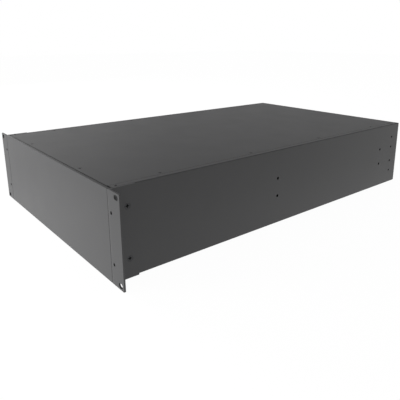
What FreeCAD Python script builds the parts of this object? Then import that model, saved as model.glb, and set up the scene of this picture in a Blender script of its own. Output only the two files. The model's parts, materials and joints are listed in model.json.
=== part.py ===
import FreeCAD, Part
import math
import os

# Empty rack case, 19-inch rack, three units high, all sizes in millimetres.
# The origin is under the middle of the case, on the plane of the panel's lower edge. +Z is up, and the front
# panel faces -Y. The covers and panels are screwed on, and nothing moves.

Vector = FreeCAD.Vector

# Rack standard
rack_unit = 44.45
units_high = 3
panel_relief = 0.75  # how much lower a panel is than its rack units
panel_width = 482.6
slot_from_edge = 8.75  # middle of a rack slot to the ear's outer edge
slot_spacing_z = 120.65
slot_length = 10.3
slot_width = 7.0

# Whole case
case_depth = 712.0
ear_width = 30.9  # what each ear adds to the width of the body

# Metal thicknesses and folds
panel_thickness = 4.76
ear_thickness = 2.5
side_sheet = 1.0
cover_sheet = 1.5
rail_sheet = 1.5
rear_sheet = 1.5
bend_radius = 0.3  # inside radius of every fold
relief_gap = 0.6  # notch left beside a fold at a corner where two folds meet

# Front and rear panels
panel_side_gap = 0.8
rear_panel_margin = 0.4

# Ears
ear_leg_length = 39.0
ear_root_fillet = 1.6
ear_corner_radius = 1.0
ear_screw_from_front = 26.0
ear_screw_spacing = 75.0
handle_hole_radius = 2.4
handle_hole_offset = 5.1  # from the leg's outer face
handle_hole_spacing = 72.0

# Side plates
strip_width = 10.0  # flange left bare beside each cover, flush with the cover's outer face
flange_width = 20.0  # bare strip and the lip under the cover together
return_width = 16.0
slide_hole_radius = 2.5
slide_hole_spacing_z = 31.75
slide_hole_spacing_y = 323.85
slide_hole_from_rear = 69.85
tail_hole_radius = 2.2
tail_hole_from_rear = 25.4
tail_hole_spacing_z = 76.2
jig_hole_radius = 1.8
jig_hole_from_front = 15.0

# Rails under the ends of the covers
rail_depth = 20.0
rail_height = 16.0
rail_gap = 0.5
rail_fixing_spacing = 254.0

# Covers
cover_side_gap = 0.4
cover_end_gap = 0.8
cover_corner_radius = 1.5
cover_screw_edge = 5.0
side_screw_pitch = 177.8
side_screw_count = 4
end_screw_spacing = 203.2
end_screw_from_face = 12.7

# Small countersunk screws, for the covers and the rear panel
small_screw_radius = 1.75
small_head_angle = 100.0
small_head_land = 0.2  # height of the head's rim, and of the straight hole below the seat
small_screw_past = 3.0  # how far the screws come out inside
small_side_count = 10  # flat sides of the small fasteners and their holes

# Large countersunk screws and clinch nuts, for the ears
large_screw_radius = 2.5
large_head_angle = 90.0
large_head_land = 0.25
large_screw_past = 5.0
large_side_count = 16  # flat sides of the large screws, their nuts and their holes
clinch_nut_radius = 4.75
clinch_nut_height = 4.0
clinch_spigot_wall = 0.65
clinch_clearance = 0.05

# Weld studs and nuts behind the front panel
stud_radius = 2.0
stud_foot_radius = 2.8
stud_foot_height = 0.8
stud_past = 0.6
stud_nut_flats = 7.0
stud_nut_height = 3.2

# Fits and cross recess shared by the fasteners
hole_clearance = 0.25
thread_clearance = 0.05
recess_share = 0.62  # reach of the cross recess over the head's radius
recess_slot_share = 0.17  # half the width of its arms over the head's radius
recess_depth_share = 0.7  # depth of the recess over the head's height and shank's radius together
recess_taper = 0.45  # reach of the cross at its foot over its reach at the face

# Planes and places that the sizes give
panel_height = units_high * rack_unit - panel_relief
middle = panel_height / 2
front = -case_depth / 2
rear = case_depth / 2
half_body = panel_width / 2 - ear_width
panel_back = front + panel_thickness
rear_panel_face = rear - rear_sheet
cover_half_width = half_body - strip_width - cover_side_gap
cover_front = panel_back + cover_end_gap
cover_rear = rear_panel_face - cover_end_gap
rail_half_length = half_body - max(flange_width, return_width) - rail_gap
corner_relief = side_sheet + bend_radius + relief_gap

side_screw_x = cover_half_width - cover_screw_edge
end_screw_x = end_screw_spacing / 2
panel_fixing_x = half_body - return_width / 2
rail_fixing_x = rail_fixing_spacing / 2

SIDES = {"left": -1, "right": 1}
LEVELS = {"bottom": -1, "top": 1}
ENDS = {"front": -1, "rear": 1}


def point(axis, a, b, along):
    """A point from its two coordinates across an axis, in X, Y, Z order, and its place along it."""
    if axis == "x":
        return Vector(along, a, b)
    if axis == "y":
        return Vector(a, along, b)
    return Vector(a, b, along)


def drawn(axis, edges, start, end):
    """The closed outline of these edges, drawn out along an axis."""
    return Part.Face(Part.Wire(edges)).extrude(point(axis, 0, 0, end - start))


def arc(axis, centre, radius, first, last, along):
    """A quarter turn about centre, from the way first points to the way last points."""
    steps = []
    for share_first, share_last in ((1, 0), (math.sqrt(0.5), math.sqrt(0.5)), (0, 1)):
        a = centre[0] + radius * (share_first * first[0] + share_last * last[0])
        b = centre[1] + radius * (share_first * first[1] + share_last * last[1])
        steps.append(point(axis, a, b, along))
    return Part.Arc(*steps).toShape()


def folded(axis, path, thickness, start, end):
    """A sheet folded square at each inner point of a path along its outer face, and drawn out along an axis.

    Every fold turns the same way, and the metal lies on the side that the folds turn to.
    """
    ways = []
    for near, far in zip(path, path[1:]):
        length = math.dist(near, far)
        ways.append(((far[0] - near[0]) / length, (far[1] - near[1]) / length))
    outer = [path[0]]
    inner = [(path[0][0] + thickness * ways[1][0], path[0][1] + thickness * ways[1][1])]
    outer_arcs = []
    inner_arcs = []
    for corner, way_in, way_out in zip(path[1:], ways, ways[1:]):
        reach = bend_radius + thickness
        centre = [corner[i] + reach * (way_out[i] - way_in[i]) for i in (0, 1)]
        back = [-value for value in way_out]
        for radius, points, arcs in ((reach, outer, outer_arcs), (bend_radius, inner, inner_arcs)):
            points.append([centre[i] + radius * back[i] for i in (0, 1)])
            points.append([centre[i] + radius * way_in[i] for i in (0, 1)])
            arcs.append(arc(axis, centre, radius, back, way_in, start))
    outer.append(path[-1])
    inner.append([path[-1][i] - thickness * ways[-2][i] for i in (0, 1)])
    edges = outer_arcs + inner_arcs
    for points in (outer, inner):
        for near, far in zip(points[::2], points[1::2]):
            edges.append(Part.makeLine(point(axis, *near, start), point(axis, *far, start)))
    for near, far in ((outer[0], inner[0]), (outer[-1], inner[-1])):
        edges.append(Part.makeLine(point(axis, *near, start), point(axis, *far, start)))
    return drawn(axis, Part.__sortEdges__(edges), start, end)


def plate(low, high):
    """A flat plate between its lowest and highest corners."""
    return Part.makeBox(*(high - low), low)


def rounded(shape, direction, radius):
    """The shape with its corners rounded along every edge that runs in a direction."""
    edges = []
    for edge in shape.Edges:
        span = edge.lastVertex().Point - edge.firstVertex().Point
        if edge.Curve.TypeId == "Part::GeomLine" and span.cross(direction).Length < 1e-6:
            edges.append(edge)
    return shape.makeFillet(radius, edges)


def round_hole(place, direction, radius, depth):
    """A drill that starts at a place, as deep as said."""
    return Part.makeCylinder(radius, depth, place, direction)


def slotted_hole(place, half_width, length, depth):
    """A drill along +Y for a slot that runs along X, round at both ends."""
    reach = Vector(length / 2 - half_width, 0, 0)
    along = Vector(0, 1, 0)
    left = Part.makeCylinder(half_width, depth, place - reach, along)
    right = Part.makeCylinder(half_width, depth, place + reach, along)
    corner = place - reach - Vector(0, 0, half_width)
    between = Part.makeBox(2 * reach.x, depth, 2 * half_width, corner)
    return left.fuse([right, between])


def ringed(rings, place, direction):
    """A solid with flat faces between like rings of points, closed at its first and last ring."""
    loops = [rings[0], rings[-1]]
    for near, far in zip(rings, rings[1:]):
        loops += [[near[i - 1], near[i], far[i], far[i - 1]] for i in range(len(near))]
    shell = Part.Shell([Part.Face(Part.makePolygon(loop + loop[:1])) for loop in loops])
    shell.sewShape()
    solid = Part.Solid(shell)
    solid.Placement = facing(place, direction)
    return solid


def flat_sided(outline, place, direction, sides=small_side_count):
    """A nearly round solid with flat sides: the outline gives radius and distance along its line."""
    turns = [math.tau * (i + 0.5) / sides for i in range(sides)]
    rings = []
    for radius, along in outline:
        rings.append([Vector(radius * math.cos(t), radius * math.sin(t), along) for t in turns])
    return ringed(rings, place, direction)


def facing(place, direction):
    """The placement that carries +Z at the origin to a direction at a place."""
    return FreeCAD.Placement(place, FreeCAD.Rotation(Vector(0, 0, 1), direction))


def flat_hole(place, direction, radius, depth, sides=small_side_count):
    """A flat-sided drill that starts at a place, as deep as said."""
    return flat_sided([(radius, 0), (radius, depth)], place, direction, sides)


class Screw:
    """A countersunk screw whose head just fits the thickness of the metal that it clamps."""

    def __init__(self, radius, angle, land, clamped, past, sides):
        self.radius = radius
        self.land = land
        self.clamped = clamped
        self.past = past
        self.sides = sides
        self.slope = math.tan(math.radians(angle / 2))
        self.head_radius = radius + (clamped - 2 * land) * self.slope
        self.head_height = clamped - land

    def seat(self, place, direction):
        """The countersunk hole in the clamped metal, from its outer face inwards."""
        hole = self.radius + hole_clearance
        mouth = self.head_radius + self.land * self.slope
        foot = (mouth - hole) / self.slope
        outline = [(mouth, 0), (hole, foot), (hole, self.clamped)]
        return flat_sided(outline, place, direction, self.sides)

    def solid(self, place, direction, carrier):
        """The screw itself, flush with the outer face and past the inner face of its carrier."""
        length = self.clamped + carrier + self.past
        outline = [(self.head_radius, 0), (self.head_radius, self.land)]
        outline += [(self.radius, self.head_height), (self.radius, length)]
        return flat_sided(outline, place, direction, self.sides)


def cross_recess(screw, place, direction):
    """The drill for a cross recess, which narrows towards its foot."""
    depth = (screw.head_height + screw.radius) * recess_depth_share
    crosses = []
    for along, share in ((0, 1), (depth, recess_taper)):
        reach = screw.head_radius * recess_share * share
        half = screw.head_radius * recess_slot_share * (1 + share) / 2
        crosses.append(cross_corners(reach, half, along))
    return ringed(crosses, place, direction)


def cross_corners(reach, half, along):
    """The twelve corners of an upright cross, in order."""
    corners = []
    for quarter in range(4):
        for a, b in ((reach, half), (half, half), (half, reach)):
            for _ in range(quarter):
                a, b = -b, a
            corners.append(Vector(a, b, along))
    return corners


cover_screw = Screw(small_screw_radius, small_head_angle, small_head_land, cover_sheet,
                    small_screw_past, small_side_count)
rear_screw = Screw(small_screw_radius, small_head_angle, small_head_land, rear_sheet,
                   small_screw_past, small_side_count)
ear_screw = Screw(large_screw_radius, large_head_angle, large_head_land, ear_thickness,
                  large_screw_past, large_side_count)
clinch_spigot_radius = large_screw_radius + clinch_spigot_wall
tapped_radius = small_screw_radius + thread_clearance
stud_hole_radius = stud_foot_radius + hole_clearance


def outer_face(level):
    """The height of the case's outer face at its top or bottom."""
    return middle + level * middle


def seat_height(level):
    """The height of the lips and rails that carry a cover."""
    return outer_face(level) - level * cover_sheet


def side_screw_places(level, side):
    """Where the screws along one side edge of a cover start."""
    z = outer_face(level)
    first = -(side_screw_count - 1) / 2
    return [Vector(side * side_screw_x, (first + i) * side_screw_pitch, z) for i in range(side_screw_count)]


def end_screw_places(level, end):
    """Where the screws along the front or rear edge of a cover start."""
    z = outer_face(level)
    y = end * (rear - end_screw_from_face)
    return [Vector(x, y, z) for x in (-end_screw_x, end_screw_x)]


def ear_screw_places(side):
    """Where the screws through one ear's leg start, on its outer face."""
    x = side * (half_body + ear_thickness)
    y = front + ear_screw_from_front
    return [Vector(x, y, middle + step * ear_screw_spacing / 2) for step in (-1, 1)]


def return_fixing_places(side, y):
    """Where a panel is fixed to one side plate's return, at a plane along Y."""
    return [Vector(side * panel_fixing_x, y, middle + step * ear_screw_spacing / 2) for step in (-1, 1)]


def rail_fixing_places(level, y):
    """Where a panel is fixed to one rail, at a plane along Y."""
    z = rail_leg_middle(level)
    return [Vector(x, y, z) for x in (-rail_fixing_x, rail_fixing_x)]


def rail_leg_middle(level):
    """The height of the middle of a rail's upright leg."""
    return seat_height(level) - level * rail_height / 2


def panel_fixings(y):
    """Every fixing of the front or rear panel with the thickness of the metal that carries it."""
    found = []
    for side in SIDES.values():
        found += [(place, side_sheet) for place in return_fixing_places(side, y)]
    for level in LEVELS.values():
        found += [(place, rail_sheet) for place in rail_fixing_places(level, y)]
    return found


def make_front_panel():
    """A thick flat plate between the ears, as high as its rack units allow."""
    half = half_body - panel_side_gap
    return plate(Vector(-half, front, 0), Vector(half, panel_back, panel_height))


def make_front_panel_studs():
    """Studs welded to the panel's back by their wider feet."""
    studs = []
    for place, carrier in panel_fixings(panel_back):
        end = carrier + stud_nut_height + stud_past
        outline = [(stud_foot_radius, 0), (stud_foot_radius, stud_foot_height)]
        outline += [(stud_radius, stud_foot_height), (stud_radius, end)]
        studs.append(flat_sided(outline, place, Vector(0, 1, 0)))
    return studs


def make_front_panel_nuts():
    """Hexagon nuts on the studs, against the returns and the rails."""
    nuts = []
    corner = stud_nut_flats / math.sqrt(3)
    for place, carrier in panel_fixings(panel_back):
        base = place + Vector(0, carrier, 0)
        turns = [math.radians(60 * i) for i in range(6)]
        points = [base + Vector(corner * math.cos(t), 0, corner * math.sin(t)) for t in turns]
        edges = Part.makePolygon(points + points[:1]).Edges
        body = drawn("y", edges, 0, stud_nut_height)
        bore = flat_hole(base, Vector(0, 1, 0), stud_radius + thread_clearance, stud_nut_height)
        nuts.append(body.cut(bore))
    return nuts


def make_ear_nuts(side):
    """Clinch nuts on the side plate's inner face, with their spigots pressed into the plate."""
    nuts = []
    top = side_sheet + clinch_nut_height
    bore_radius = large_screw_radius + thread_clearance
    outline = [(clinch_spigot_radius, 0), (clinch_spigot_radius, side_sheet)]
    outline += [(clinch_nut_radius, side_sheet), (clinch_nut_radius, top)]
    inwards = Vector(-side, 0, 0)
    for place in ear_screw_places(side):
        start = place + inwards * ear_thickness
        bore = flat_hole(start, inwards, bore_radius, top, large_side_count)
        nuts.append(flat_sided(outline, start, inwards, large_side_count).cut(bore))
    return nuts


def make_rear_panel():
    """A thin flat plate over the returns and rails at the back."""
    half = half_body - rear_panel_margin
    panel = plate(Vector(-half, rear_panel_face, rear_panel_margin),
                  Vector(half, rear, panel_height - rear_panel_margin))
    inwards = Vector(0, -1, 0)
    return panel.cut([rear_screw.seat(place, inwards) for place, _ in panel_fixings(rear)])


def make_ear(side):
    """An angle whose leg lies outside the side plate and whose flange stands out to the rack post."""
    inner = side * half_body
    leg = side * (half_body + ear_thickness)
    tip = side * panel_width / 2
    leg_end = front + ear_leg_length
    back = front + ear_thickness
    corners = [(inner, front), (tip, front), (tip, back), (leg, back), (leg, leg_end), (inner, leg_end)]
    points = [Vector(x, y, 0) for x, y in corners]
    ear = Part.Face(Part.makePolygon(points + points[:1])).extrude(Vector(0, 0, panel_height))
    root = [e for e in ear.Edges if e.BoundBox.ZLength > 1 and same_place(e, leg, back)]
    ear = ear.makeFillet(ear_root_fillet, root)
    ends = [e for e in ear.Edges if e.BoundBox.YLength > ear_thickness - 1e-6 and same_x(e, tip)]
    ear = ear.makeFillet(ear_corner_radius, ends)
    return ear.cut(ear_holes(side, leg, tip))


def same_place(edge, x, y):
    """Whether an upright edge stands at a place."""
    middle_point = edge.BoundBox.Center
    return math.dist((middle_point.x, middle_point.y), (x, y)) < 1e-6


def same_x(edge, x):
    """Whether the whole edge lies at one X."""
    return edge.BoundBox.XLength < 1e-6 and abs(edge.BoundBox.Center.x - x) < 1e-6


def ear_holes(side, leg, tip):
    """The drills for one ear: rack slots, handle holes and the screws' seats in the leg."""
    drills = []
    for step in (-1, 1):
        slot = Vector(tip - side * slot_from_edge, front, middle + step * slot_spacing_z / 2)
        drills.append(slotted_hole(slot, slot_width / 2, slot_length, ear_thickness))
        handle = Vector(leg + side * handle_hole_offset, front, middle + step * handle_hole_spacing / 2)
        drills.append(round_hole(handle, Vector(0, 1, 0), handle_hole_radius, ear_thickness))
    for place in ear_screw_places(side):
        drills.append(ear_screw.seat(place, Vector(-side, 0, 0)))
    return drills


def make_side_plate(side):
    """A sheet folded inwards on all four edges, stepped down under the covers and notched at its corners."""
    bottom, top = (outer_face(level) for level in LEVELS.values())
    outer = side * half_body
    shoulder = side * (half_body - strip_width)
    inner = side * (half_body - return_width)
    channel = folded("y", [(shoulder, bottom), (outer, bottom), (outer, top), (shoulder, top)],
                     side_sheet, panel_back + corner_relief, rear_panel_face - corner_relief)
    returns = folded("z", [(inner, panel_back), (outer, panel_back), (outer, rear_panel_face),
                           (inner, rear_panel_face)],
                     side_sheet, bottom + corner_relief, top - corner_relief)
    lips = [make_lip(side, level) for level in LEVELS.values()]
    return channel.fuse([returns] + lips).removeSplitter().cut(side_plate_holes(side))


def make_lip(side, level):
    """The step down from a side plate's bare strip, and the lip inside it that carries the cover."""
    shoulder = side * (half_body - strip_width)
    step_back = shoulder + side * side_sheet
    edge = side * (half_body - flange_width)
    seat = seat_height(level)
    under = seat - level * side_sheet
    corners = [(shoulder, outer_face(level)), (step_back, outer_face(level)), (step_back, under),
               (edge, under), (edge, seat), (shoulder, seat)]
    start = panel_back + corner_relief
    points = [Vector(x, start, z) for x, z in corners]
    return drawn("y", Part.makePolygon(points + points[:1]).Edges, start, rear_panel_face - corner_relief)


def side_plate_holes(side):
    """The drills for one side plate: slide holes, tail holes, jig holes and every fixing."""
    inwards = Vector(-side, 0, 0)
    drills = []
    for step in (-1, 1):
        z = middle + step * slide_hole_spacing_z / 2
        last = rear - slide_hole_from_rear
        for y in (last - slide_hole_spacing_y, last):
            drills.append(round_hole(Vector(side * half_body, y, z), inwards, slide_hole_radius, side_sheet))
        for spacing in (slide_hole_spacing_z, tail_hole_spacing_z):
            place = Vector(side * half_body, rear - tail_hole_from_rear, middle + step * spacing / 2)
            drills.append(round_hole(place, inwards, tail_hole_radius, side_sheet))
    for place in ear_screw_places(side):
        start = place + inwards * ear_thickness
        radius = clinch_spigot_radius + clinch_clearance
        drills.append(flat_hole(start, inwards, radius, side_sheet, large_side_count))
    for place in return_fixing_places(side, panel_back):
        drills.append(flat_hole(place, Vector(0, 1, 0), stud_hole_radius, side_sheet))
    for place in return_fixing_places(side, rear_panel_face):
        drills.append(flat_hole(place, Vector(0, -1, 0), tapped_radius, side_sheet))
    for level in LEVELS.values():
        into = Vector(0, 0, -level)
        for place in side_screw_places(level, side):
            drills.append(flat_hole(place + into * cover_sheet, into, tapped_radius, side_sheet))
        jig = Vector(side * (half_body - strip_width / 2), front + jig_hole_from_front, outer_face(level))
        drills.append(flat_hole(jig, into, jig_hole_radius, side_sheet))
    return drills


def make_rail(end, level):
    """An angle between the side plates: one leg against the panel and one under the cover's end."""
    face = panel_back if end < 0 else rear_panel_face
    seat = seat_height(level)
    path = [(face, seat - level * rail_height), (face, seat), (face - end * rail_depth, seat)]
    rail = folded("x", path, rail_sheet, -rail_half_length, rail_half_length)
    into = Vector(0, 0, -level)
    drills = []
    for place in end_screw_places(level, end):
        drills.append(flat_hole(place + into * cover_sheet, into, tapped_radius, rail_sheet))
    radius = stud_hole_radius if end < 0 else tapped_radius
    for place in rail_fixing_places(level, face):
        drills.append(flat_hole(place, Vector(0, -end, 0), radius, rail_sheet))
    return rail.cut(drills)


def make_cover(level):
    """A flat sheet with rounded corners and countersunk holes, on the lips and rails."""
    faces = (outer_face(level), seat_height(level))
    low = Vector(-cover_half_width, cover_front, min(faces))
    high = Vector(cover_half_width, cover_rear, max(faces))
    cover = rounded(plate(low, high), Vector(0, 0, 1), cover_corner_radius)
    places = [place for place, _ in cover_side_fixings(level) + cover_end_fixings(level)]
    return cover.cut([cover_screw.seat(place, Vector(0, 0, -level)) for place in places])


def cover_side_fixings(level):
    """The screws along both side edges of a cover, with the thickness under each."""
    return [(place, side_sheet) for side in SIDES.values() for place in side_screw_places(level, side)]


def cover_end_fixings(level):
    """The screws along the front and rear edges of a cover, with the thickness under each."""
    return [(place, rail_sheet) for end in ENDS.values() for place in end_screw_places(level, end)]


def make_screws(screw, fixings, direction):
    """The screws at these fixings."""
    return [screw.solid(place, direction, carrier) for place, carrier in fixings]


def make_ear_screws(side):
    """The large screws through one ear's leg, with their cross recesses."""
    inwards = Vector(-side, 0, 0)
    fixings = [(place, side_sheet) for place in ear_screw_places(side)]
    screws = make_screws(ear_screw, fixings, inwards)
    return [screw.cut(cross_recess(ear_screw, place, inwards)) for screw, (place, _) in zip(screws, fixings)]


def save(node, solids):
    """Writes one node, of one solid or of several like ones."""
    shape = solids[0] if len(solids) == 1 else Part.makeCompound(solids)
    shape.exportStep("parts/" + node + ".step")


os.makedirs("parts", exist_ok=True)

save("front_panel", [make_front_panel()])
save("front_panel_studs", make_front_panel_studs())
save("front_panel_nuts", make_front_panel_nuts())
save("rear_panel", [make_rear_panel()])
save("rear_panel_screws", make_screws(rear_screw, panel_fixings(rear), Vector(0, -1, 0)))

for name, side in SIDES.items():
    save(name + "_side_plate", [make_side_plate(side)])
    save(name + "_ear", [make_ear(side)])
    save(name + "_ear_screws", make_ear_screws(side))
    save(name + "_ear_nuts", make_ear_nuts(side))

for name, level in LEVELS.items():
    into = Vector(0, 0, -level)
    save(name + "_cover", [make_cover(level)])
    save(name + "_cover_side_screws", make_screws(cover_screw, cover_side_fixings(level), into))
    save(name + "_cover_end_screws", make_screws(cover_screw, cover_end_fixings(level), into))
    for end_name, end in ENDS.items():
        save(end_name + "_" + name + "_rail", [make_rail(end, level)])
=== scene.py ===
"""Looks of an empty three-unit rack case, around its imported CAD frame.

Shapes are worked out in millimetres, in the frame's own axes, and put into meshes in metres. Every sheet of the
case is a punched blank that two fold sections lay into place, and every fastener is a stack of rings.
"""
import json
import math

import bpy
import numpy as np
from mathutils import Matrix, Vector
from mathutils.geometry import delaunay_2d_cdt


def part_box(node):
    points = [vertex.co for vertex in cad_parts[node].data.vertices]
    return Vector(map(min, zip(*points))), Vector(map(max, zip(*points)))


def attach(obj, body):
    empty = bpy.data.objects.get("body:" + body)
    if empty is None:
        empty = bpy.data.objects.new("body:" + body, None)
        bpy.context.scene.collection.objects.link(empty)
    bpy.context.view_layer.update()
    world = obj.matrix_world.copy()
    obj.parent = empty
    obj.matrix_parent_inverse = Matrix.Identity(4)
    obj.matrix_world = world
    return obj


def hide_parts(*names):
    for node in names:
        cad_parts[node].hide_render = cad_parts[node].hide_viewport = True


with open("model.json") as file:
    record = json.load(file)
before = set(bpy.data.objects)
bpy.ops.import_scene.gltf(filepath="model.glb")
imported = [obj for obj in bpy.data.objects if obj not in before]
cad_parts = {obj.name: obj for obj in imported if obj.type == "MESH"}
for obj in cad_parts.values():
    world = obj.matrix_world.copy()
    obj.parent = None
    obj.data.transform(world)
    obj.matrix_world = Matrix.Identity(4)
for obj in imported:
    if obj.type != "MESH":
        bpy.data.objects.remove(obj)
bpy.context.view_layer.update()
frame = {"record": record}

MM = 0.001

# Sizes in millimetres that the boxes of the CAD nodes don't give
EAR_SHEET = 2.5
SIDE_SHEET = 1.0
COVER_SHEET = 1.5
RAIL_SHEET = 1.5
REAR_SHEET = 1.5
FOLD_RADIUS = 0.3
CORNER_RELIEF = 1.9
STRIP_WIDTH = 10.0
FLANGE_WIDTH = 20.0
RETURN_WIDTH = 16.0
EAR_ROOT = 1.6
EAR_CORNER = 1.0
COVER_CORNER = 1.5
PANEL_CORNER = 0.6
REAR_CORNER = 1.0
RAIL_CORNER = 0.5
EASE = 0.02  # cut edges are broken no more than this before they are coated
PANEL_BACK_EASE = 0.5  # broken with a file, so that the plate slides in behind the cover
SLACK = 0.05  # straight metal kept beside each fold's arc

# How finely arcs are drawn
ARC_POINTS = 7
BEND_KNOTS = ARC_POINTS + 2
HOLE_SIDES = 40
RING_SIDES = 32
THREAD_STEPS = 6
SHARP_ANGLE = math.radians(32)

SLOT_LENGTH, SLOT_WIDTH, SLOT_FROM_EDGE, SLOT_SPACING = 10.3, 7.0, 8.75, 120.65
HANDLE_HOLE, HANDLE_FROM_LEG, HANDLE_SPACING = 2.4, 5.1, 72.0
SLIDE_HOLE, SLIDE_SPACING_Z, SLIDE_SPACING_Y, SLIDE_FROM_REAR = 2.5, 31.75, 323.85, 69.85
TAIL_HOLE, TAIL_FROM_REAR, TAIL_SPACING = 2.2, 25.4, 76.2
JIG_HOLE, JIG_FROM_FRONT = 1.8, 15.0
SIDE_SCREW_INSET, SIDE_SCREW_PITCH, SIDE_SCREWS = 5.0, 177.8, 4
END_SCREW_X, END_SCREW_FROM_FACE = 101.6, 12.7
PANEL_FIXING_SPACING, RAIL_FIXING_X, RAIL_HEIGHT = 75.0, 127.0, 16.0
EAR_SCREW_FROM_FRONT = 26.0

SMALL_SCREW = dict(radius=1.75, slope=math.tan(math.radians(50)), land=0.2, pitch=0.79, past=3.0)
LARGE_SCREW = dict(radius=2.5, slope=1.0, land=0.25, pitch=0.8, past=5.0)
HOLE_CLEARANCE = 0.25
THREAD_CLEARANCE = 0.05
STUD, STUD_FOOT, STUD_FOOT_HEIGHT, STUD_NUT_FLATS, STUD_NUT_HEIGHT, STUD_PAST = 2.0, 2.8, 0.8, 7.0, 3.2, 0.6
STUD_PITCH, STUD_FOOT_CHAMFER, STUD_RUNOUT, STUD_POINT = 0.7, 0.2, 0.1, 0.5
STUD_NUT_CHAMFER, STUD_NUT_WHOLE_FROM, STUD_NUT_ROUNDED_TO = 0.3, 0.55, 1.09
CLINCH_NUT, CLINCH_NUT_HEIGHT, CLINCH_SPIGOT = 4.75, 4.0, 3.15
CLINCH_CHAMFER, CLINCH_BORE_CHAMFER = 0.5, 0.4

# Shares of other sizes
THREAD_DEPTH = 0.54  # of the pitch
RECESS_FOOT, RECESS_MOUTH = (0.28, 0.12), (0.62, 0.17)  # an arm's reach and half its width, of the head's radius
RECESS_DEPTH = 0.7  # of the head's height with the shank's radius added
SCREW_TIP = 0.8  # of the thread's root
STUD_SHOULDER, STUD_TIP = 0.82, 0.7  # of the stud's radius

X, Y, Z = np.eye(3)
SIDES = {"left": -1, "right": 1}
LEVELS = {"bottom": -1, "top": 1}
ENDS = {"front": -1, "rear": 1}


def corners(node):
    """The lowest and highest corners of a CAD node, in millimetres."""
    return [np.array(corner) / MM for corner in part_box(node)]


(_, front, _), (panel_half, panel_back, top) = corners("front_panel")
_, (half_body, rear_face, _) = corners("right_side_plate")
_, (ear_tip, leg_end, _) = corners("right_ear")
(_, cover_front, seat_top), (cover_half, cover_rear, _) = corners("top_cover")
(_, _, rear_low), (rear_half, rear, rear_high) = corners("rear_panel")
_, (rail_half, _, _) = corners("front_bottom_rail")
middle = top / 2
leg_face = half_body + EAR_SHEET
cover_step = top - seat_top
rail_leg_middle = cover_step + RAIL_HEIGHT / 2


# ---- Colours and nodes


def linear(hex_colour):
    """Linear RGBA of an sRGB hex colour."""
    parts = [int(hex_colour[i : i + 2], 16) / 255 for i in (1, 3, 5)]
    return [c / 12.92 if c <= 0.04045 else ((c + 0.055) / 1.055) ** 2.4 for c in parts] + [1]


def add(tree, kind, inputs=None, **settings):
    """Adds one node with its settings. An input takes a value or another node's output socket."""
    node = tree.nodes.new("ShaderNode" + kind)
    for name, value in settings.items():
        setattr(node, name, value)
    for name, value in (inputs or {}).items():
        if isinstance(value, bpy.types.NodeSocket):
            tree.links.new(value, node.inputs[name])
        else:
            node.inputs[name].default_value = value
    return node


def emptied(name):
    """A new material and its empty node tree."""
    material = bpy.data.materials.new(name)
    material.use_nodes = True
    material.node_tree.nodes.clear()
    return material, material.node_tree


def powder_coat(name, dark, light, roughness):
    """Polyester powder coat, sprayed dry and baked until it flows.

    The melt draws into a fine orange peel a millimetre or two across and some microns high, over a still finer
    grain. The powder's own grain is a few hundredths of a millimetre and is drawn at half a millimetre, because it
    wouldn't show otherwise. Film thickness drifts over hand widths, so the black is slightly cloudy and its satin
    gloss is uneven.
    """
    material, tree = emptied(name)
    place = add(tree, "TexCoord").outputs["Object"]
    cloud = add(tree, "TexNoise", {"Vector": place, "Scale": 1 / (70 * MM), "Detail": 3.0, "Roughness": 0.6})
    grain = add(tree, "TexNoise", {"Vector": place, "Scale": 1 / (0.5 * MM), "Detail": 1.0})
    peel = add(tree, "TexNoise", {"Vector": place, "Scale": 1 / (1.6 * MM), "Detail": 2.0, "Roughness": 0.45})
    tint = add(tree, "MapRange", {"Value": cloud.outputs["Fac"], "From Min": 0.35, "From Max": 0.65})
    mottle = add(tree, "MapRange", {"Value": grain.outputs["Fac"], "From Min": 0.3, "From Max": 0.7,
                                    "To Min": -0.12, "To Max": 0.12})
    share = add(tree, "Math", {0: tint.outputs["Result"], 1: mottle.outputs["Result"]}, operation="ADD",
                use_clamp=True)
    black = add(tree, "Mix", {"Factor": share.outputs[0], "A": linear(dark), "B": linear(light)},
                data_type="RGBA")
    gloss = add(tree, "MapRange", {"Value": cloud.outputs["Fac"], "From Min": 0.35, "From Max": 0.65,
                                   "To Min": roughness - 0.015, "To Max": roughness + 0.015})
    fine = add(tree, "Bump", {"Height": grain.outputs["Fac"], "Strength": 0.25, "Distance": 0.006 * MM})
    skin = add(tree, "Bump", {"Height": peel.outputs["Fac"], "Strength": 0.5, "Distance": 0.02 * MM,
                              "Normal": fine.outputs["Normal"]})
    shader = add(tree, "BsdfPrincipled", {"Base Color": black.outputs["Result"],
                                          "Roughness": gloss.outputs["Result"],
                                          "Normal": skin.outputs["Normal"]})
    add(tree, "OutputMaterial", {"Surface": shader.outputs["BSDF"]})
    return material


def black_oxide_steel():
    """Alloy steel screws, rolled and then blacked in a hot salt bath.

    The oxide is under two microns thick, so the steel's own lustre comes through a blue-black film, with faint
    blotches where the bath drained and fine marks left by the rolls.
    """
    material, tree = emptied("black_oxide_steel")
    place = add(tree, "TexCoord").outputs["Object"]
    blotch = add(tree, "TexNoise", {"Vector": place, "Scale": 1 / (2.5 * MM), "Detail": 3.0})
    mark = add(tree, "TexNoise", {"Vector": place, "Scale": 1 / (0.3 * MM), "Detail": 1.0})
    black = add(tree, "Mix", {"Factor": blotch.outputs["Fac"], "A": linear("#303132"), "B": linear("#3f4041")},
                data_type="RGBA")
    gloss = add(tree, "MapRange", {"Value": blotch.outputs["Fac"], "From Min": 0.3, "From Max": 0.7,
                                   "To Min": 0.34, "To Max": 0.44})
    bump = add(tree, "Bump", {"Height": mark.outputs["Fac"], "Strength": 0.3, "Distance": 0.01 * MM})
    shader = add(tree, "BsdfPrincipled", {"Base Color": black.outputs["Result"], "Metallic": 0.6,
                                          "Roughness": gloss.outputs["Result"],
                                          "Normal": bump.outputs["Normal"]})
    add(tree, "OutputMaterial", {"Surface": shader.outputs["BSDF"]})
    return material


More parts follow.
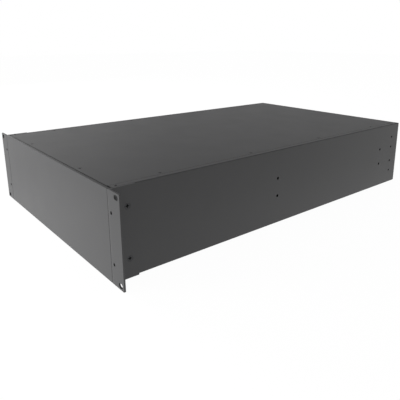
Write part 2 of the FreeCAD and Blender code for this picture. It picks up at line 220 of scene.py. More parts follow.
def zinc_plated_steel():
    """Cold-headed steel fixings with bright zinc plating over them.

    The plating grows in fine crystals, so the cool grey metal has a broken sheen, and it dulls a little as its
    passivated skin ages. The crystals are microns wide and are drawn at a third of a millimetre, because they
    wouldn't show otherwise.
    """
    material, tree = emptied("zinc_plated_steel")
    place = add(tree, "TexCoord").outputs["Object"]
    crystal = add(tree, "TexVoronoi", {"Vector": place, "Scale": 1 / (0.35 * MM)})
    age = add(tree, "TexNoise", {"Vector": place, "Scale": 1 / (3 * MM), "Detail": 2.0})
    grey = add(tree, "Mix", {"Factor": age.outputs["Fac"], "A": linear("#9a9ea1"), "B": linear("#c0c2c3")},
               data_type="RGBA")
    gloss = add(tree, "MapRange", {"Value": crystal.outputs["Distance"], "To Min": 0.26, "To Max": 0.46})
    shader = add(tree, "BsdfPrincipled", {"Base Color": grey.outputs["Result"], "Metallic": 1.0,
                                          "Roughness": gloss.outputs["Result"]})
    add(tree, "OutputMaterial", {"Surface": shader.outputs["BSDF"]})
    return material


FINISHES = {
    "panel_paint": powder_coat("front_panel_powder_coat", "#313132", "#353536", 0.42),
    "ear_paint": powder_coat("ear_powder_coat", "#313132", "#353536", 0.42),
    "case_paint": powder_coat("case_powder_coat", "#313132", "#353536", 0.42),
    "rail_paint": powder_coat("rail_powder_coat", "#2f2f30", "#353536", 0.45),
    "black_screws": black_oxide_steel(),
    "zinc_fixings": zinc_plated_steel(),
}


def finished(node, points, faces):
    """Puts a closed surface in place of a CAD node, in metres, with its faces outwards.

    The signed volume is the sum over triangles of one corner dotted with the cross product of the other two. A
    surface that came out mirrored has a negative one, and its faces are turned round.
    """
    fans = np.concatenate([part[:, [0, i, i + 1]] for part in faces for i in range(1, part.shape[1] - 1)])
    a, b, c = (points[fans[:, i]] for i in range(3))
    if (a * np.cross(b, c)).sum() < 0:
        faces = [part[:, ::-1] for part in faces]
    mesh = bpy.data.meshes.new("finished_" + node)
    mesh.from_pydata((points * MM).tolist(), [], [face for part in faces for face in part.tolist()])
    mesh.shade_smooth()
    mesh.set_sharp_from_angle(angle=SHARP_ANGLE)
    slot = next(part["material_slot"] for part in frame["record"]["subparts"] if part["node"] == node)
    mesh.materials.append(FINISHES[slot])
    piece = bpy.data.objects.new("finished_" + node, mesh)
    bpy.context.scene.collection.objects.link(piece)
    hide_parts(node)
    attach(piece, "root")


# ---- Sheets


def section(outer, inner, convex, outer_radius, inner_radius):
    """A fold section: knots along the blank, with the outer and inner skin's (place, depth) at each.

    Each skin is a path with square corners. A corner c between directions in and out becomes
    c - reach * in, then c + radius * (out - in + in * sin t - out * cos t) for t from 0 to a quarter turn, then
    c + reach * out. The skin outside a fold reaches further by the sheet's thickness, so that the two skins
    stay face to face on the straight metal. A knot is the length along the outer skin.
    """
    outer, inner = np.array(outer, float), np.array(inner, float)
    thickness = np.abs(inner[0] - outer[0]).max()
    convex = np.array(convex)
    outer_radius, inner_radius = np.array(outer_radius, float), np.array(inner_radius, float)
    outer_reach = np.where(convex, thickness + inner_radius, outer_radius) + SLACK
    inner_reach = np.where(convex, inner_radius, thickness + outer_radius) + SLACK
    turn = np.linspace(0, math.pi / 2, ARC_POINTS)[None, :, None]
    skins = []
    for path, radius, reach in ((outer, outer_radius, outer_reach), (inner, inner_radius, inner_reach)):
        ways = np.diff(path, axis=0)
        ways /= np.linalg.norm(ways, axis=1)[:, None]
        come, go = ways[:-1, None], ways[1:, None]
        corner, radius, reach = path[1:-1, None], radius[:, None, None], reach[:, None, None]
        bends = corner + radius * (go - come + come * np.sin(turn) - go * np.cos(turn))
        bends = np.concatenate([corner - reach * come, bends, corner + reach * go], axis=1)
        skins.append(np.concatenate([path[:1], bends.reshape(-1, 2), path[-1:]]))
    knots = np.r_[0, np.cumsum(np.linalg.norm(np.diff(skins[0], axis=0), axis=1))]
    return knots, skins[0], skins[1]


def flat(low, high, thickness):
    """A section with no fold: its knots are its places."""
    ends = np.array([low, high], float)
    return ends, np.c_[ends, [0, 0]], np.c_[ends, [thickness, thickness]]


def counted_from(fold, knot, place):
    """The same section with its knots moved so that one knot falls on a place."""
    return fold[0] - fold[0][knot] + place, fold[1], fold[2]


def blank_place(fold, place, depth):
    """How far along the blank the outer skin passes nearest to (place, depth)."""
    knots, outer, _ = fold
    start, run = outer[:-1], np.diff(outer, axis=0)
    share = ((np.array([place, depth]) - start) * run).sum(1) / np.maximum((run**2).sum(1), 1e-12)
    share = share.clip(0, 1)
    gap = np.linalg.norm(start + share[:, None] * run - [place, depth], axis=1)
    best = gap.argmin()
    return knots[best] + share[best] * (knots[best + 1] - knots[best])


def laid(fold, along, share):
    """Place and depth of blank points: the outer skin plus share times the way from it to the inner skin."""
    knots, outer, inner = fold
    ends = [np.stack([np.interp(along, knots, skin[:, i]) for i in (0, 1)], -1) for skin in (outer, inner)]
    return ends[0] + share[:, None] * (ends[1] - ends[0])


def mitres(points):
    """How far each corner of a closed outline moves when its edges all move one millimetre to their left."""
    ways = np.roll(points, -1, 0) - points
    ways /= np.linalg.norm(ways, axis=1)[:, None]
    left = np.stack([-ways[:, 1], ways[:, 0]], -1)
    before = np.roll(left, 1, 0)
    return (left + before) / (1 + (left * before).sum(1))[:, None]


def crossed(points, knots, axis):
    """The outline with a point added wherever one of its edges crosses a knot line."""
    ends = np.roll(points, -1, 0)
    run = (ends - points)[:, axis, None]
    run = np.where(np.abs(run) < 1e-9, np.inf, run)
    share = (knots[None] - points[:, axis, None]) / run
    edge, knot = np.nonzero((share > 1e-9) & (share < 1 - 1e-9))
    share = share[edge, knot]
    added = points[edge] + share[:, None] * (ends[edge] - points[edge])
    order = np.argsort(np.r_[np.arange(len(points)), edge + share])
    return np.concatenate([points, added])[order]


def rim(thickness, outer=EASE, inner=EASE):
    """Rows of a cut edge: (step into the metal, share of the way through), eased at both skins."""
    return np.array([(outer, 0), (0, outer / thickness), (0, 1 - inner / thickness), (inner, 1)])


def countersunk(screw, thickness, hole):
    """Rows of a countersunk hole: a crisp mouth, a cone that fits the head, and the hole's own wall."""
    mouth = head_radius(screw, thickness) + screw["land"] * screw["slope"] - hole
    foot = mouth / screw["slope"]
    share = EASE / thickness
    return np.array([(mouth, 0), (0, foot / thickness), (0, 1 - share), (EASE, 1)])


def from_inside(rows):
    """The same rows with their mouth on the inner skin."""
    return np.stack([rows[::-1, 0], 1 - rows[::-1, 1]], -1)


def box_outline(low, high, radius):
    """A rectangle walked with its metal to the left, its corners turned on quarter circles.

    The radius is one number, or one for each corner from the lowest on, where 0 leaves a corner square.
    """
    turn = (np.arange(4)[:, None] + np.linspace(0, 1, ARC_POINTS)) * math.pi / 2 - math.pi
    (a0, b0), (a1, b1) = low, high
    square = np.array([(a0, b0), (a1, b0), (a1, b1), (a0, b1)], float)
    inwards = np.array([(1, 1), (-1, 1), (-1, -1), (1, -1)])
    radius = np.broadcast_to(radius, 4)[:, None]
    centres = (square + radius * inwards)[:, None]
    points = (centres + radius[:, None] * np.stack([np.cos(turn), np.sin(turn)], -1)).reshape(-1, 2)
    return points[np.linalg.norm(np.roll(points, -1, 0) - points, axis=1) > 1e-9]


def round_holes(places, radius, rows):
    """Round holes, each walked with the metal to the left: centre plus radius times (cos t, -sin t)."""
    turn = np.arange(HOLE_SIDES) * math.tau / HOLE_SIDES
    ring = radius * np.stack([np.cos(turn), -np.sin(turn)], -1)
    return [(np.array(place) + ring, rows) for place in places]


def slots(places, length, width, rows):
    """Slots along the blank's first direction: a round hole pulled apart by the slot's straight length."""
    found = []
    for points, rows in round_holes(places, width / 2, rows):
        reach = (length - width) / 2
        centre = points.mean(0)
        found.append((points + np.c_[reach * np.sign((points - centre)[:, 0].round(9)), 0 * points[:, 0]], rows))
    return found


def inside(points, loops):
    """Whether points lie in the metal: a line from each crosses the loops' edges an odd number of times."""
    start = np.concatenate(loops)
    end = np.concatenate([np.roll(loop, -1, 0) for loop in loops])
    a, b = points[:, :1], points[:, 1:]
    spans = (start[:, 1] > b) != (end[:, 1] > b)
    run = end[:, 1] - start[:, 1]
    across = start[:, 0] + (b - start[:, 1]) * (end[:, 0] - start[:, 0]) / np.where(run == 0, 1, run)
    return (spans & (a < across)).sum(1) % 2 == 1


def sheet(node, outline, holes, folds, axes, origin=(0, 0, 0), edge=None):
    """A punched blank laid into place by its two fold sections.

    Each loop of the blank's edge goes through the sheet as rows: the loop moved towards the metal, at a share of
    the way through. The first and last rows bound the two skins, which are filled with triangles that keep to
    the fold lines. A blank point (a, b, share) ends at place_a, place_b and the sum of both depths, less the one
    thickness that they count twice, along the three axes. The outline's rows are a plain rim unless others are given.
    """
    thickness = np.abs(folds[0][2][0] - folds[0][1][0]).max()
    for axis in (0, 1):
        outline = crossed(outline, folds[axis][0], axis)
    loops = [(outline, rim(thickness) if edge is None else edge)] + holes
    blank, shares, quads, rings, start = [], [], [], [], 0
    for points, rows in loops:
        blank.append((points + rows[:, :1, None] * mitres(points)).reshape(-1, 2))
        shares.append(np.repeat(rows[:, 1], len(points)))
        index = start + np.arange(len(rows) * len(points)).reshape(len(rows), -1)
        beside = np.roll(index, -1, 1)
        quads.append(np.stack([index[:-1], index[1:], beside[1:], beside[:-1]], -1).reshape(-1, 4))
        rings.append((index[0], index[-1]))
        start += index.size
    blank, shares = np.concatenate(blank), np.concatenate(shares)
    skins = []
    for last in (0, 1):
        names = np.concatenate([ring[last] for ring in rings])
        points = blank[names]
        splits = np.cumsum([len(ring[last]) for ring in rings])[:-1]
        local = np.split(np.arange(len(names)), splits)
        edges = np.concatenate([np.stack([ids, np.roll(ids, -1)], -1) for ids in local])
        lines = [fold_line(points[local[0]], knot, axis) for axis in (0, 1) for knot in folds[axis][0][1:-1]]
        edges = np.concatenate([edges] + lines).tolist()
        made = delaunay_2d_cdt([Vector(p) for p in points.tolist()], edges, [], 0, 1e-7)
        triangles = np.array(made[2])
        triangles = triangles[inside(points[triangles].mean(1), [points[ids] for ids in local])]
        skins.append(names[triangles[:, ::-1] if last else triangles])
    first, second = (laid(fold, blank[:, axis], shares) for axis, fold in enumerate(folds))
    depth = first[:, 1] + second[:, 1] - thickness * shares
    points = np.stack([first[:, 0], second[:, 0], -depth], -1) @ np.array(axes) + origin
    finished(node, points, [np.concatenate(quads)] + skins)


def fold_line(outline, knot, axis):
    """The edges that join the outline's points on one knot line, two by two."""
    on = np.nonzero(np.abs(outline[:, axis] - knot) < 1e-6)[0]
    on = on[np.argsort(outline[on, 1 - axis])]
    return on[: len(on) // 2 * 2].reshape(-1, 2)


# ---- Fasteners


def head_radius(screw, clamped):
    """Radius of a countersunk head that just fits the thickness it clamps."""
    return screw["radius"] + (clamped - 2 * screw["land"]) * screw["slope"]


TURN = np.arange(RING_SIDES) * math.tau / RING_SIDES


def ring(radius, height):
    """A round ring."""
    return np.full(TURN.shape, radius), np.full(TURN.shape, height)


def cross_ring(reach, half, height):
    """A cross: at angle t from the nearest arm, the nearer of the arm's end and its side at half / sin t."""
    off = np.abs((TURN + math.pi / 4) % (math.pi / 2) - math.pi / 4)
    return np.minimum(reach, half / np.maximum(np.sin(off), 1e-6)), np.full(TURN.shape, height)


def hexagon_ring(flats, limit, height):
    """A hexagon, half its width over flats / cos of the angle from the nearest flat, cut to a round limit."""
    off = (TURN + math.pi / 6) % (math.pi / 3) - math.pi / 6
    return np.minimum(flats / 2 / np.cos(off), limit), np.full(TURN.shape, height)


def threads(radius, pitch, start, end):
    """Rings of a thread: the radius falls and rises by a triangle wave of height over pitch less the turn."""
    heights = np.arange(start, end, pitch / THREAD_STEPS)
    wave = np.abs((heights[:, None] / pitch - TURN / math.tau) % 1 * 2 - 1)
    return [(radius - THREAD_DEPTH * pitch * row, np.full(TURN.shape, h)) for row, h in zip(wave, heights)]


def stacked(rings, places, direction, bored=False):
    """Points and faces of the same stack of rings at each place, with its heights along one direction.

    A point is place + radius * (cos t * p + sin t * q) + height * direction, with p and q square to the
    direction. A bored stack closes on its own first ring, and any other on a point in the middle of each end.
    """
    radius, height = (np.array(values) for values in zip(*rings))
    local = np.stack([radius * np.cos(TURN), radius * np.sin(TURN), height], -1).reshape(-1, 3)
    index = np.arange(len(local)).reshape(radius.shape)
    if bored:
        index = np.concatenate([index, index[:1]])
    beside = np.roll(index, -1, 1)
    quads = np.stack([index[:-1], index[1:], beside[1:], beside[:-1]], -1).reshape(-1, 4)
    faces = [quads]
    if not bored:
        count = len(local)
        local = np.concatenate([local, [(0, 0, height[0, 0]), (0, 0, height[-1, 0])]])
        faces.append(np.stack([np.full(TURN.shape, count), index[0], beside[0]], -1))
        faces.append(np.stack([np.full(TURN.shape, count + 1), beside[-1], index[-1]], -1))
    p = X if abs(direction[2]) > 0.5 else Z
    points = local @ np.stack([p, np.cross(direction, p), direction]) + np.array(places)[:, None]
    jumps = np.arange(len(places))[:, None, None] * len(local)
    return points.reshape(-1, 3), [(part[None] + jumps).reshape(-1, part.shape[1]) for part in faces]


def joined(*surfaces):
    """One surface of several, each one's faces counted on from the points before it."""
    starts = np.cumsum([0] + [len(points) for points, _ in surfaces])
    faces = [part + start for (_, parts), start in zip(surfaces, starts) for part in parts]
    return np.concatenate([points for points, _ in surfaces]), faces


def screws(screw, clamped, carrier, places, direction):
    """Countersunk screws with a cross recess: the recess's foot and mouth, the head, the thread and the tip.

    A head is drawn down until its flat lies under the sheet's skin, by a little less than its land.
    """
    head = head_radius(screw, clamped)
    length = clamped + carrier + screw["past"]
    deep = (clamped - screw["land"] + screw["radius"]) * RECESS_DEPTH
    root = screw["radius"] - THREAD_DEPTH * screw["pitch"]
    flat_at = screw["land"] - 2 * EASE
    foot, mouth = ([head * share for share in shares] for shares in (RECESS_FOOT, RECESS_MOUTH))
    rings = [cross_ring(*foot, deep), cross_ring(*mouth, flat_at), ring(head - EASE, flat_at),
             ring(head, flat_at + EASE), ring(head, screw["land"]), ring(screw["radius"], clamped - screw["land"])]
    rings += threads(screw["radius"], screw["pitch"], clamped, length - screw["pitch"])
    rings += [ring(root, length - screw["pitch"] / 2), ring(root * SCREW_TIP, length)]
    return stacked(rings, places, direction)


# ---- Where the fixings are

runs = (np.arange(SIDE_SCREWS) - (SIDE_SCREWS - 1) / 2) * SIDE_SCREW_PITCH
side_x = cover_half - SIDE_SCREW_INSET
end_y = rear - END_SCREW_FROM_FACE
cover_places = {}
for name, level in LEVELS.items():
    face = middle + level * middle
    cover_places[name] = (
        np.array([(side * side_x, y, face) for side in SIDES.values() for y in runs]),
        np.array([(x, end * end_y, face) for end in ENDS.values() for x in (-END_SCREW_X, END_SCREW_X)]),
    )


def panel_places(y):
    """Where a panel is fixed to the side plates' returns and to the rails, at a plane along Y."""
    x = half_body - RETURN_WIDTH / 2
    returns = [(side * x, y, middle + step * PANEL_FIXING_SPACING / 2) for side in (-1, 1) for step in (-1, 1)]
    rails = [(x, y, middle + level * (middle - rail_leg_middle)) for level in (-1, 1)
             for x in (-RAIL_FIXING_X, RAIL_FIXING_X)]
    return np.array(returns), np.array(rails)


def ear_screw_places(side):
    """Where one ear's screws start, on the leg's outer face."""
    return np.array([(side * leg_face, front + EAR_SCREW_FROM_FRONT, middle + step * PANEL_FIXING_SPACING / 2)
                     for step in (-1, 1)])


# ---- Panels and covers

sheet("front_panel", box_outline((-panel_half, 0), (panel_half, top), PANEL_CORNER), [],
      (flat(-panel_half, panel_half, panel_back - front), flat(0, top, panel_back - front)), (X, Z, -Y),
      (0, front, 0), rim(panel_back - front, inner=PANEL_BACK_EASE))

small_hole = SMALL_SCREW["radius"] + HOLE_CLEARANCE
rear_rows = countersunk(SMALL_SCREW, REAR_SHEET, small_hole)
rear_holes = round_holes(np.concatenate(panel_places(rear))[:, [0, 2]], small_hole, rear_rows)
sheet("rear_panel", box_outline((-rear_half, rear_low), (rear_half, rear_high), REAR_CORNER), rear_holes,
      (flat(-rear_half, rear_half, REAR_SHEET), flat(rear_low, rear_high, REAR_SHEET)), (X, Z, Y), (0, rear, 0))

cover_rows = countersunk(SMALL_SCREW, COVER_SHEET, small_hole)
for name, level in LEVELS.items():
    side_places, end_places = cover_places[name]
    holes = round_holes(np.concatenate([side_places, end_places])[:, :2], small_hole, cover_rows)
    sheet(name + "_cover", box_outline((-cover_half, cover_front), (cover_half, cover_rear), COVER_CORNER), holes,
          (flat(-cover_half, cover_half, COVER_SHEET), flat(cover_front, cover_rear, COVER_SHEET)),
          (X, Y, level * Z), (0, 0, middle + level * middle))
    finished(name + "_cover_side_screws", *screws(SMALL_SCREW, COVER_SHEET, SIDE_SHEET, side_places, -level * Z))
    finished(name + "_cover_end_screws", *screws(SMALL_SCREW, COVER_SHEET, RAIL_SHEET, end_places, -level * Z))

# ---- Side plates

seat = cover_step
inner_seat = cover_step + SIDE_SHEET
wall_end = SIDE_SHEET + FOLD_RADIUS
step_back = STRIP_WIDTH - SIDE_SHEET
upright = section(
    [(seat, FLANGE_WIDTH), (seat, STRIP_WIDTH), (0, STRIP_WIDTH), (0, 0), (top, 0), (top, STRIP_WIDTH),
     (top - seat, STRIP_WIDTH), (top - seat, FLANGE_WIDTH)],
    [(inner_seat, FLANGE_WIDTH), (inner_seat, step_back), (SIDE_SHEET, step_back), (SIDE_SHEET, SIDE_SHEET),
     (top - SIDE_SHEET, SIDE_SHEET), (top - SIDE_SHEET, step_back), (top - inner_seat, step_back),
     (top - inner_seat, FLANGE_WIDTH)],
    [False, True, True, True, True, False],
    [FOLD_RADIUS, FOLD_RADIUS, wall_end, wall_end, FOLD_RADIUS, FOLD_RADIUS],
    [FOLD_RADIUS, SLACK, FOLD_RADIUS, FOLD_RADIUS, SLACK, FOLD_RADIUS])
upright = counted_from(upright, 3 * BEND_KNOTS, wall_end + SLACK)
lengthways = section(
    [(panel_back, RETURN_WIDTH), (panel_back, 0), (rear_face, 0), (rear_face, RETURN_WIDTH)],
    [(panel_back + SIDE_SHEET, RETURN_WIDTH), (panel_back + SIDE_SHEET, SIDE_SHEET),
     (rear_face - SIDE_SHEET, SIDE_SHEET), (rear_face - SIDE_SHEET, RETURN_WIDTH)],
    [True, True], [wall_end, wall_end], [FOLD_RADIUS, FOLD_RADIUS])
lengthways = counted_from(lengthways, BEND_KNOTS, panel_back + wall_end + SLACK)


def side_outline():
    """The side plate's blank: a cross-shaped outline whose square notches clear the four corners."""
    (a0, a1), (b0, b1) = lengthways[0][[0, -1]], upright[0][[0, -1]]
    ya, yb = panel_back + CORNER_RELIEF, rear_face - CORNER_RELIEF
    za, zb = CORNER_RELIEF, top - CORNER_RELIEF
    return np.array([(ya, b0), (yb, b0), (yb, za), (a1, za), (a1, zb), (yb, zb), (yb, b1), (ya, b1), (ya, zb),
                     (a0, zb), (a0, za), (ya, za)])


def side_holes():
    """The side plate's holes on its blank: slide, tail and clinch holes in the wall, fixings in the flanges."""
    plain = rim(SIDE_SHEET)
    slide = [(rear - SLIDE_FROM_REAR - run, middle + step * SLIDE_SPACING_Z / 2)
             for run in (0, SLIDE_SPACING_Y) for step in (-1, 1)]
    tail = [(rear - TAIL_FROM_REAR, middle + step * spacing / 2)
            for spacing in (SLIDE_SPACING_Z, TAIL_SPACING) for step in (-1, 1)]
    ear = [(y, z) for _, y, z in ear_screw_places(1)]
    holes = round_holes(slide, SLIDE_HOLE, plain) + round_holes(tail, TAIL_HOLE, plain)
    holes += round_holes(ear, CLINCH_SPIGOT + THREAD_CLEARANCE, plain)
    tapped = SMALL_SCREW["radius"] + THREAD_CLEARANCE
    for level, face in ((-1, seat), (1, top - seat)):
        lip = blank_place(upright, face, half_body - cover_half + SIDE_SCREW_INSET)
        holes += round_holes([(y, lip) for y in runs], tapped, plain)
        strip = blank_place(upright, middle + level * middle, STRIP_WIDTH / 2)
        holes += round_holes([(front + JIG_FROM_FRONT, strip)], JIG_HOLE, plain)
    for face, radius in ((panel_back, STUD_FOOT + HOLE_CLEARANCE), (rear_face, tapped)):
        a = blank_place(lengthways, face, RETURN_WIDTH / 2)
        heights = [middle + step * PANEL_FIXING_SPACING / 2 for step in (-1, 1)]
        holes += round_holes([(a, z) for z in heights], radius, plain)
    return holes


for name, side in SIDES.items():
    sheet(name + "_side_plate", side_outline(), side_holes(), (lengthways, upright), (Y, Z, side * X),
          (side * half_body, 0, 0))

# ---- Ears: an angle whose first skin is the front of the flange and the inside of the leg

ear_width = ear_tip - half_body
angle = section([(ear_width, 0), (0, 0), (0, leg_end - front)],
                [(ear_width, EAR_SHEET), (EAR_SHEET, EAR_SHEET), (EAR_SHEET, leg_end - front)],
                [True], [EASE], [EAR_ROOT])


for name, side in SIDES.items():
    plain = rim(EAR_SHEET)
    slot_at = [(SLOT_FROM_EDGE, middle + step * SLOT_SPACING / 2) for step in (-1, 1)]
    handle_at = [(ear_width - EAR_SHEET - HANDLE_FROM_LEG, middle + step * HANDLE_SPACING / 2) for step in (-1, 1)]
    holes = slots(slot_at, SLOT_LENGTH, SLOT_WIDTH, plain) + round_holes(handle_at, HANDLE_HOLE, plain)
    large_hole = LARGE_SCREW["radius"] + HOLE_CLEARANCE
    down = blank_place(angle, 0, EAR_SCREW_FROM_FRONT)
    screw_at = [(down, middle + step * PANEL_FIXING_SPACING / 2) for step in (-1, 1)]
    holes += round_holes(screw_at, large_hole, from_inside(countersunk(LARGE_SCREW, EAR_SHEET, large_hole)))
    outline = box_outline((0, 0), (angle[0][-1], top), (EAR_CORNER, 0, 0, EAR_CORNER))
    sheet(name + "_ear", outline, holes, (angle, flat(0, top, EAR_SHEET)), (side * X, Z, -Y),
          (side * half_body, front, 0))
    places = ear_screw_places(side)
    finished(name + "_ear_screws", *screws(LARGE_SCREW, EAR_SHEET, SIDE_SHEET, places, -side * X))

    bore = LARGE_SCREW["radius"] + THREAD_CLEARANCE
    tall = SIDE_SHEET + CLINCH_NUT_HEIGHT
    mouth = bore + CLINCH_BORE_CHAMFER
    rings = [ring(mouth, 0), ring(CLINCH_SPIGOT, 0), ring(CLINCH_SPIGOT, SIDE_SHEET), ring(CLINCH_NUT, SIDE_SHEET),
             ring(CLINCH_NUT, tall - CLINCH_CHAMFER), ring(CLINCH_NUT - CLINCH_CHAMFER, tall), ring(mouth, tall),
             ring(bore, tall - CLINCH_BORE_CHAMFER), ring(bore, CLINCH_BORE_CHAMFER)]
    finished(name + "_ear_nuts", *stacked(rings, places - side * EAR_SHEET * X, -side * X, bored=True))

# ---- Rails

for end_name, end in ENDS.items():
    face = panel_back if end < 0 else rear_face
    for name, level in LEVELS.items():
        low, high = corners(f"{end_name}_{name}_rail")
        depth, height = high[1] - low[1], high[2] - low[2]
        fold = section([(height, 0), (0, 0), (0, depth)],
                       [(height, RAIL_SHEET), (RAIL_SHEET, RAIL_SHEET), (RAIL_SHEET, depth)],
                       [True], [RAIL_SHEET + FOLD_RADIUS], [FOLD_RADIUS])
        to_panel = blank_place(fold, height / 2, 0)
        to_cover = blank_place(fold, 0, abs(face - end * end_y))
        radius = STUD_FOOT + HOLE_CLEARANCE if end < 0 else SMALL_SCREW["radius"] + THREAD_CLEARANCE
        holes = round_holes([(to_panel, x) for x in (-RAIL_FIXING_X, RAIL_FIXING_X)], radius, rim(RAIL_SHEET))
        holes += round_holes([(to_cover, x) for x in (-END_SCREW_X, END_SCREW_X)],
                             SMALL_SCREW["radius"] + THREAD_CLEARANCE, rim(RAIL_SHEET))
        rail_outline = box_outline((0, -rail_half), (fold[0][-1], rail_half), RAIL_CORNER)
        seat_z = high[2] if level > 0 else low[2]
        sheet(f"{end_name}_{name}_rail", rail_outline, holes, (fold, flat(-rail_half, rail_half, RAIL_SHEET)),
              (-level * Z, X, end * Y), (0, face, seat_z))

# ---- Rear screws, weld studs and their nuts

carriers = (SIDE_SHEET, RAIL_SHEET)
rear_screws = [screws(SMALL_SCREW, REAR_SHEET, carrier, places, -Y)
               for carrier, places in zip(carriers, panel_places(rear))]
finished("rear_panel_screws", *joined(*rear_screws))

studs, nuts = [], []
half_flats = STUD_NUT_FLATS / 2
rounded = half_flats * STUD_NUT_ROUNDED_TO
past_corners = 2 * STUD_NUT_FLATS
bore = STUD + THREAD_CLEARANCE
mouth = bore + STUD_NUT_CHAMFER
for carrier, places in zip(carriers, panel_places(panel_back)):
    length = carrier + STUD_NUT_HEIGHT + STUD_PAST
    rings = [ring(STUD_FOOT, 0), ring(STUD_FOOT, STUD_FOOT_HEIGHT - STUD_FOOT_CHAMFER),
             ring(STUD_FOOT - STUD_FOOT_CHAMFER, STUD_FOOT_HEIGHT), ring(STUD, STUD_FOOT_HEIGHT)]
    rings += threads(STUD, STUD_PITCH, STUD_FOOT_HEIGHT + STUD_RUNOUT, length - STUD_POINT)
    rings += [ring(STUD * STUD_SHOULDER, length - STUD_POINT + STUD_RUNOUT), ring(STUD * STUD_TIP, length)]
    studs.append(stacked(rings, places, Y))
    rings = [ring(mouth, 0), ring(half_flats, 0), hexagon_ring(STUD_NUT_FLATS, rounded, STUD_NUT_CHAMFER),
             hexagon_ring(STUD_NUT_FLATS, past_corners, STUD_NUT_WHOLE_FROM),
             hexagon_ring(STUD_NUT_FLATS, past_corners, STUD_NUT_HEIGHT - STUD_NUT_WHOLE_FROM),
             hexagon_ring(STUD_NUT_FLATS, rounded, STUD_NUT_HEIGHT - STUD_NUT_CHAMFER),
             ring(half_flats, STUD_NUT_HEIGHT), ring(mouth, STUD_NUT_HEIGHT),
             ring(bore, STUD_NUT_HEIGHT - STUD_NUT_CHAMFER), ring(bore, STUD_NUT_CHAMFER)]
    nuts.append(stacked(rings, places + carrier * Y, Y, bored=True))
finished("front_panel_studs", *joined(*studs))
finished("front_panel_nuts", *joined(*nuts))

# ---- Studio


def seen_rays(tree):
    """1 for camera, glossy and transmission rays, which see the backdrop, and 0 for the rest."""
    rays = add(tree, "LightPath")
    total = add(tree, "Math", {0: rays.outputs["Is Camera Ray"], 1: rays.outputs["Is Glossy Ray"]}, operation="ADD")
    return add(tree, "Math", {0: total.outputs[0], 1: rays.outputs["Is Transmission Ray"]}, operation="ADD",
               use_clamp=True).outputs[0]


# The room lights matt surfaces evenly. What gloss mirrors is a studio: a bright horizon under a dim ceiling that is
# lighter overhead, and a broad pale patch on the left. A height is the sine of its angle above the horizon.
room_light = 0.45
horizon_light, horizon_ends, ceiling_starts = 1.2, 0.08, 0.25
ceiling_light = 0.08
overhead_light, overhead_starts, overhead_whole = 0.5, 0.3, 0.65
patch_light, patch_way, patch_edge = 0.66, Vector((-1, -0.35, 0.3)), 0.6

world = bpy.data.worlds.new("studio")
bpy.context.scene.world = world
world.use_nodes = True
tree = world.node_tree
tree.nodes.clear()
rays = add(tree, "LightPath")
way = add(tree, "TexCoord").outputs["Generated"]
height = add(tree, "SeparateXYZ", {"Vector": way}).outputs["Z"]
ceiling = add(tree, "MapRange", {"Value": height, "From Min": horizon_ends, "From Max": ceiling_starts,
                                 "To Min": horizon_light, "To Max": ceiling_light}, interpolation_type="SMOOTHSTEP")
overhead = add(tree, "MapRange", {"Value": height, "From Min": overhead_starts, "From Max": overhead_whole,
                                  "To Min": 0.0, "To Max": overhead_light}, interpolation_type="SMOOTHSTEP")
above = add(tree, "Math", {0: ceiling.outputs["Result"], 1: overhead.outputs["Result"]}, operation="ADD")
facing = add(tree, "VectorMath", {0: way, 1: patch_way.normalized()}, operation="DOT_PRODUCT")
patch = add(tree, "MapRange", {"Value": facing.outputs["Value"], "From Min": patch_edge, "From Max": 1.0,
                               "To Min": 0.0, "To Max": patch_light}, interpolation_type="SMOOTHSTEP")
sky = add(tree, "Math", {0: above.outputs[0], 1: patch.outputs["Result"]}, operation="ADD")
lit = add(tree, "MapRange", {"Value": seen_rays(tree), "To Min": room_light, "To Max": sky.outputs[0]})
strength = add(tree, "MapRange", {"Value": rays.outputs["Is Camera Ray"], "To Min": lit.outputs["Result"],
                                  "To Max": 1.0})
backdrop = add(tree, "Background", {"Color": linear("#ffffff"), "Strength": strength.outputs["Result"]})
add(tree, "OutputWorld", {"Surface": backdrop.outputs["Background"]})

# The floor is pale grey paint under the lamps, which keeps the case's shadow, mixed with plain white for the rays
# that see the backdrop. Mirrored, it glows a little brighter in an oval pool around the case's footprint: painted
# light.
near_floor, far_floor, seen_floor = 1.25, 1.04, 1.04
pool_half_width, pool_half_depth, pool_ends = 0.24, 0.39, 2.2
white_share = 0.93
floor_reach, floor_height = 8, -0.0002

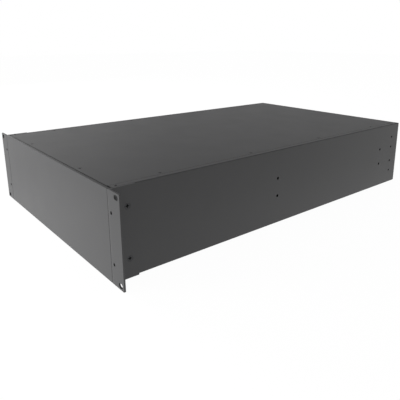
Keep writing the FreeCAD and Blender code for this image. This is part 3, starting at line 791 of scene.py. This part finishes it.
floor_paint, tree = emptied("floor_paint")
paint = add(tree, "BsdfDiffuse", {"Color": linear("#e7e7e7")})
place = add(tree, "TexCoord").outputs["Object"]
footprint = add(tree, "Mapping", {"Vector": place, "Scale": (1 / pool_half_width, 1 / pool_half_depth, 0)})
away = add(tree, "VectorMath", {0: footprint.outputs["Vector"]}, operation="LENGTH")
# painted pool of light: the floor's glow, seen only in reflections, is stronger near the case than far from it
pool = add(tree, "MapRange", {"Value": away.outputs["Value"], "From Min": 1.0, "From Max": pool_ends,
                              "To Min": near_floor, "To Max": far_floor}, interpolation_type="SMOOTHSTEP")
rays = add(tree, "LightPath")
bright = add(tree, "MapRange", {"Value": rays.outputs["Is Camera Ray"], "To Min": pool.outputs["Result"],
                                "To Max": seen_floor})
glow = add(tree, "Emission", {"Color": linear("#ffffff"), "Strength": bright.outputs["Result"]})
share = add(tree, "Math", {0: seen_rays(tree), 1: white_share}, operation="MULTIPLY")
mix = add(tree, "MixShader", {"Fac": share.outputs[0], 1: paint.outputs["BSDF"], 2: glow.outputs["Emission"]})
add(tree, "OutputMaterial", {"Surface": mix.outputs["Shader"]})
mesh = bpy.data.meshes.new("floor")
floor_corners = [(x * floor_reach, y * floor_reach, floor_height) for x, y in ((-1, -1), (1, -1), (1, 1), (-1, 1))]
mesh.from_pydata(floor_corners, [], [(0, 1, 2, 3)])
mesh.materials.append(floor_paint)
floor = bpy.data.objects.new("floor", mesh)
bpy.context.scene.collection.objects.link(floor)


def softbox(name, place, aim, width, height, watts):
    """A rectangular lamp that faces the point it is aimed at.

    It lights surfaces but isn't mirrored in them, so that no view has its glare. The world gives what they mirror.
    """
    lamp = bpy.data.lights.new(name, "AREA")
    lamp.shape = "RECTANGLE"
    lamp.size = width
    lamp.size_y = height
    lamp.energy = watts
    box = bpy.data.objects.new(name, lamp)
    bpy.context.scene.collection.objects.link(box)
    box.location = place
    box.visible_glossy = False
    box.rotation_euler = (Vector(aim) - Vector(place)).to_track_quat("-Z", "Y").to_euler()


softbox("left", (-2.2, -0.6, 0.7), (0, 0, 0.06), 1.2, 0.9, 39)
softbox("front", (-1.0, -2.2, 0.35), (0, -0.3, 0.06), 1.0, 0.6, 45)

camera = bpy.data.cameras.new("camera")
camera.lens = 40.707
camera.sensor_width = 36
camera.shift_x = -0.0359
camera.shift_y = -0.1056
eye = bpy.data.objects.new("camera", camera)
bpy.context.scene.collection.objects.link(eye)
azimuth, elevation = math.radians(50.145), math.radians(14.859)
back = Vector((math.sin(azimuth) * math.cos(elevation), -math.cos(azimuth) * math.cos(elevation), math.sin(elevation)))
eye.location = (0.71047, -0.59769, 0.31572)
eye.rotation_euler = back.to_track_quat("Z", "Y").to_euler()
bpy.context.scene.camera = eye
bpy.context.scene.view_settings.view_transform = "Standard"
